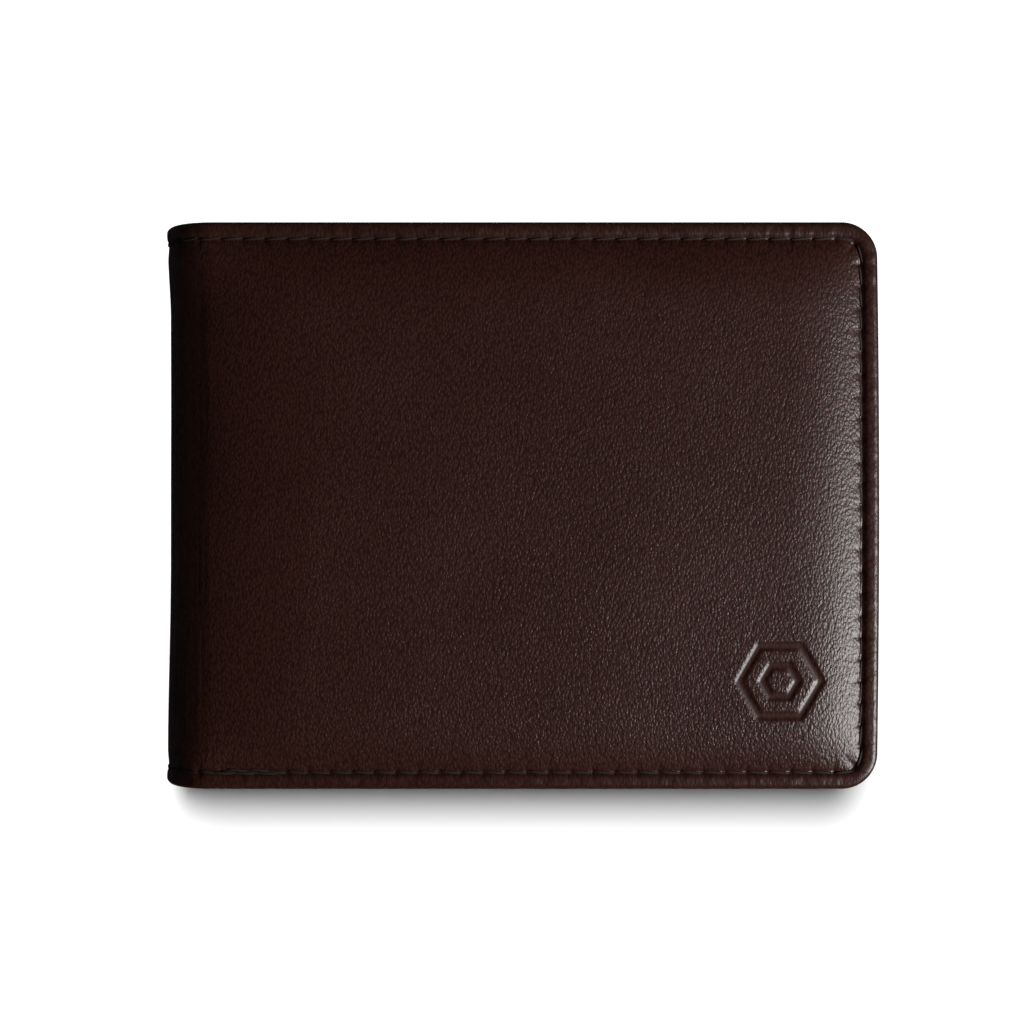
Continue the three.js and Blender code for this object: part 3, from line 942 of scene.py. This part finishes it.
# Each pocket's name, its height where it is sewn down, and its thickness.
pockets = (
    ("card_slot_upper", 3.55 * mm, 0.35 * mm),
    ("card_slot_lower", 3.10 * mm, 0.35 * mm),
    ("card_pocket", 2.40 * mm, 0.55 * mm),
)


def free_share(fold, y):
    """0 at the sewn edges of the pockets and 1 where they stand off the panel."""
    left = ease((fold - pocket_left - sewn_border) / stand_off)
    right = ease((pocket_right - sewn_border - fold) / stand_off)
    return left * right * ease((y - pocket_bottom - sewn_border) / stand_off)


def pocket_face(top, sewn, free, thick, face, side):
    """One of a pocket sheet's faces. face is 0 on the side that shows and 1 on the other."""

    def point(fold, y):
        along, across = fold, y
        if y < 0:
            along, across = round_off(fold, y, pocket_right, abs(pocket_bottom), 3.4 * mm)
        d = top - y
        share = free_share(fold, y)
        uneven = noise.noise(Vector((fold / (9 * mm), y / (8 * mm), sewn * 900)))
        height = sewn + (free - sewn) * share + 0.05 * mm * uneven
        rounded = math.sqrt(max(0.0, 1 - (1 - min(1.0, d / mouth_round)) ** 2))
        if face:
            return place(along, across, height + thick / 2 + thick / 2 * rounded, side)
        return place(along, across, height + thick / 2 - thick / 2 * rounded + crease(d), side)

    return point


pocket_columns = graded(
    (pocket_left, 0.5 * mm),
    (pocket_left + 3 * mm, 1.3 * mm),
    (pocket_right - 4 * mm, 0.4 * mm),
    (pocket_right, 0.4 * mm),
)
for half, side in halves:
    for name, sewn, thick in pockets:
        _, (_, top), (free, _) = out_of(f"{name}_front")
        pocket_rows = graded(
            (pocket_bottom, 0.4 * mm),
            (pocket_bottom + 4 * mm, 1.6 * mm),
            (top - 4 * mm, 0.16 * mm),
            (top - 0.4 * mm, 0.05 * mm),
            (top, 0.05 * mm),
        )
        piece = shell(
            f"{name}_leather_{half}",
            (pocket_columns, pocket_rows),
            pocket_face(top, sewn, free, thick, 0, side),
            pocket_face(top, sewn, free, thick, 1, side),
            inner_leather,
        )
        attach(piece, f"{half}_half")
        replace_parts(piece, f"{name}_{half}")

# %% [markdown]
# The pockets' own stitching runs down both sides and along the bottom. The cover's seam comes out on the
# inside as well: on the slip panel along the open edge and the bottom, and on the lining at the top.
# %% Stitches inside
def straight_stitches(bm, start, end, height_at, side):
    """Equal stitches between two places given as (fold, y)."""
    length = math.hypot(end[0] - start[0], end[1] - start[1])
    count = round(length / pitch)
    for k in range(count):
        ends = [[a + (b - a) * j / count for a, b in zip(start, end)] for j in (k, k + 1)]
        fold, y = [(a + b) / 2 for a, b in zip(*ends)]
        height = height_at(fold, y)
        there = [place(*e, height, side) for e in ends]
        up = Vector((0, 0, -side))
        stitch(bm, (there[0] + there[1]) / 2, there[1] - there[0], up, 0.08)


def top_layer(fold, y):
    """The height of the layer that shows at a place on the pockets' seam."""
    for name, sewn, _ in reversed(pockets):
        if y < out_of(f"{name}_front")[1][1]:
            return sewn
    return slip_in


inset = 1.4 * mm
left, right, low = pocket_left + inset, pocket_right - inset, pocket_bottom + inset
for half, side in halves:
    bm = bmesh.new()
    straight_stitches(bm, (left, pocket_top), (left, low), top_layer, side)
    straight_stitches(bm, (right, low + 2 * mm), (right, pocket_top), top_layer, side)
    straight_stitches(bm, (left, low), (right - 2 * mm, low), top_layer, side)
    sewn = to_piece(bm, f"pocket_stitches_{half}", waxed_thread)
    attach(sewn, f"{half}_half")
    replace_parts(sewn, f"pocket_edge_side_{half}", f"pocket_edge_gutter_{half}", f"pocket_edge_bottom_{half}")
    bm = bmesh.new()
    for k in range(stitch_count):
        run = (k + 0.5) * pitch
        if run <= arc_run + slip_fold[0]:
            continue
        for edge in (-1, 1):
            fold, y, _ = seam_point(run, edge)
            ahead = seam_point(run + ahead_by, edge)
            level = slip_in if y < slip_y[1] else lining_in
            here, there = place(fold, y, level, side), place(ahead[0], ahead[1], level, side)
            stitch(bm, here, there - here, Vector((0, 0, -side)), 0.1)
    inside = to_piece(bm, f"inner_seam_stitches_{half}", waxed_thread)
    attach(inside, f"{half}_half")

# %% [markdown]
# The floor is a pale sheet of paper, large enough to fill the view from any side. The wallet doesn't
# mirror it, so that its dark sides stay dark. One soft box from behind lights the paper alone and gives
# the short soft shadow in front. A second one, low at the right, lights the wallet and draws the shine
# along its open edge.
# %% Floor, camera and light
bm = bmesh.new()
bmesh.ops.create_circle(bm, cap_ends=True, segments=64, radius=6)
paper, _, paper_shader, _ = new_material("pale_paper", 0.9, 0.2)
paper_shader.inputs["Base Color"].default_value = (0.9, 0.9, 0.9, 1)
mesh = bpy.data.meshes.new("floor")
bm.to_mesh(mesh)
bm.free()
mesh.materials.append(paper)
floor = bpy.data.objects.new("floor", mesh)
bpy.context.scene.collection.objects.link(floor)
floor.visible_glossy = False
floor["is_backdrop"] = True

camera = bpy.data.objects.new("camera", bpy.data.cameras.new("camera"))
bpy.context.scene.collection.objects.link(camera)
camera.location = (-0.93 * mm, -1.03 * mm, 300 * mm)
camera.data.sensor_width = 36
camera.data.lens = 62.5
camera.data.clip_start = 10 * mm
bpy.context.scene.camera = camera


def soft_box(name, azimuth, elevation, distance, width, height, power, lights):
    """An area light that faces the wallet, and lights only some objects. Azimuth 0 is at +X, 90 at +Y."""
    data = bpy.data.lights.new(name, "AREA")
    data.shape = "ELLIPSE"
    data.size, data.size_y, data.energy = width, height, power
    lamp = bpy.data.objects.new(name, data)
    bpy.context.scene.collection.objects.link(lamp)
    a, e = math.radians(azimuth), math.radians(elevation)
    away = Vector((math.cos(a) * math.cos(e), math.sin(a) * math.cos(e), math.sin(e)))
    lamp.location = away * distance
    lamp.rotation_euler = away.to_track_quat("Z", "Y").to_euler()
    receivers = bpy.data.collections.new(f"lit_by_{name}")
    for item in lights:
        receivers.objects.link(item)
    lamp.light_linking.receiver_collection = receivers


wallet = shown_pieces()
soft_box("floor_lamp", 90, 71, distance=1.2, width=0.5, height=0.72, power=24, lights=[floor])
soft_box("side_window", -19, 35, distance=0.6, width=0.28, height=0.34, power=6.0, lights=wallet)

world = bpy.data.worlds.new("room")
bpy.context.scene.world = world
world.use_nodes = True
tree = world.node_tree
tree.nodes["Background"].inputs["Color"].default_value = (0.012, 0.012, 0.012, 1)
seen = add_node(tree, "ShaderNodeBackground")
seen.inputs["Color"].default_value = (0.93, 0.93, 0.93, 1)
ray = add_node(tree, "ShaderNodeLightPath")
pick = add_node(tree, "ShaderNodeMixShader")
tree.links.new(ray.outputs["Is Camera Ray"], pick.inputs["Fac"])
tree.links.new(tree.nodes["Background"].outputs[0], pick.inputs[1])
tree.links.new(seen.outputs[0], pick.inputs[2])
tree.links.new(pick.outputs[0], tree.nodes["World Output"].inputs["Surface"])
bpy.context.scene.view_settings.view_transform = "Standard"

# %% Sizes and the end
low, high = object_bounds()
past_frame = [round((b - a) / mm, 2) for a, b in zip([*cad_low, *cad_high], [*low, *high])]
print("visual minus frame, mm:", past_frame)
{"cad": [list(cad_low), list(cad_high)], "visual": [list(low), list(high)]}
